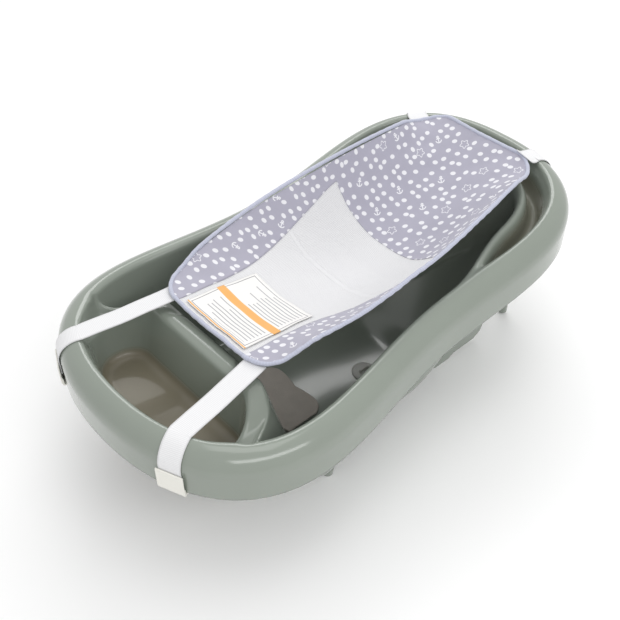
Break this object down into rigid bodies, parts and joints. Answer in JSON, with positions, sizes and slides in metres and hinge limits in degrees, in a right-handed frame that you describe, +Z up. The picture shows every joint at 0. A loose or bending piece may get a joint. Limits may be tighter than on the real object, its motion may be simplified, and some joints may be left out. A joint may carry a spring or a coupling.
{
  "type": "baby bathtub",
  "caption": "Moulded baby bathtub with a waisted rolled rim, foot well, sloping back and a printed fabric and mesh infant sling held by straps with rim hooks.",
  "frame": {"origin": "on the ground under the middle of the tub", "axes": "+X along the tub towards the raised head end, +Y to the left side seen from the foot end, +Z up"},
  "size_m": [0.6977, 0.3992, 0.2708],
  "materials": {
    "shell": "gloss sage green plastic",
    "plug": "soft white rubber",
    "pad": "closed-cell foam, taupe",
    "sling_print": "printed woven fabric",
    "netting": "fine white mesh",
    "piping": "woven bias binding",
    "webbing": "ribbed elastic webbing",
    "label": "smooth woven label",
    "hook": "moulded satin plastic"
  },
  "bodies": {
    "tub": {"tub_shell": "shell", "seat_pad": "pad", "back_pad": "pad", "sling_panel": "sling_print", "sling_mesh_panel": "netting", "sling_piping": "piping", "seat_seam_tape": "webbing", "care_label": "label", "strap_foot_left": "webbing", "strap_foot_right": "webbing", "strap_head_left": "webbing", "strap_head_right": "webbing"},
    "plug": {"drain_plug": "plug"},
    "hook_foot_left": {"rim_hook_foot_left": "hook"},
    "hook_foot_right": {"rim_hook_foot_right": "hook"},
    "hook_head_left": {"rim_hook_head_left": "hook"},
    "hook_head_right": {"rim_hook_head_right": "hook"}
  },
  "joints": [
    {"name": "plug_lift", "type": "slide", "parent": "tub", "child": "plug", "axis": [0, 0, 1], "range_m": [0, 0.025]},
    {"name": "hook_foot_left_pull", "type": "slide", "parent": "tub", "child": "hook_foot_left", "axis": [0, 0, -1], "range_m": [0, 0.008], "stiffness_N_per_m": 400, "springref_m": -0.004},
    {"name": "hook_foot_right_pull", "type": "slide", "parent": "tub", "child": "hook_foot_right", "axis": [0, 0, -1], "range_m": [0, 0.008], "stiffness_N_per_m": 400, "springref_m": -0.004},
    {"name": "hook_head_left_pull", "type": "slide", "parent": "tub", "child": "hook_head_left", "axis": [0, 0, -1], "range_m": [0, 0.008], "stiffness_N_per_m": 400, "springref_m": -0.004},
    {"name": "hook_head_right_pull", "type": "slide", "parent": "tub", "child": "hook_head_right", "axis": [0, 0, -1], "range_m": [0, 0.008], "stiffness_N_per_m": 400, "springref_m": -0.004}
  ]
}
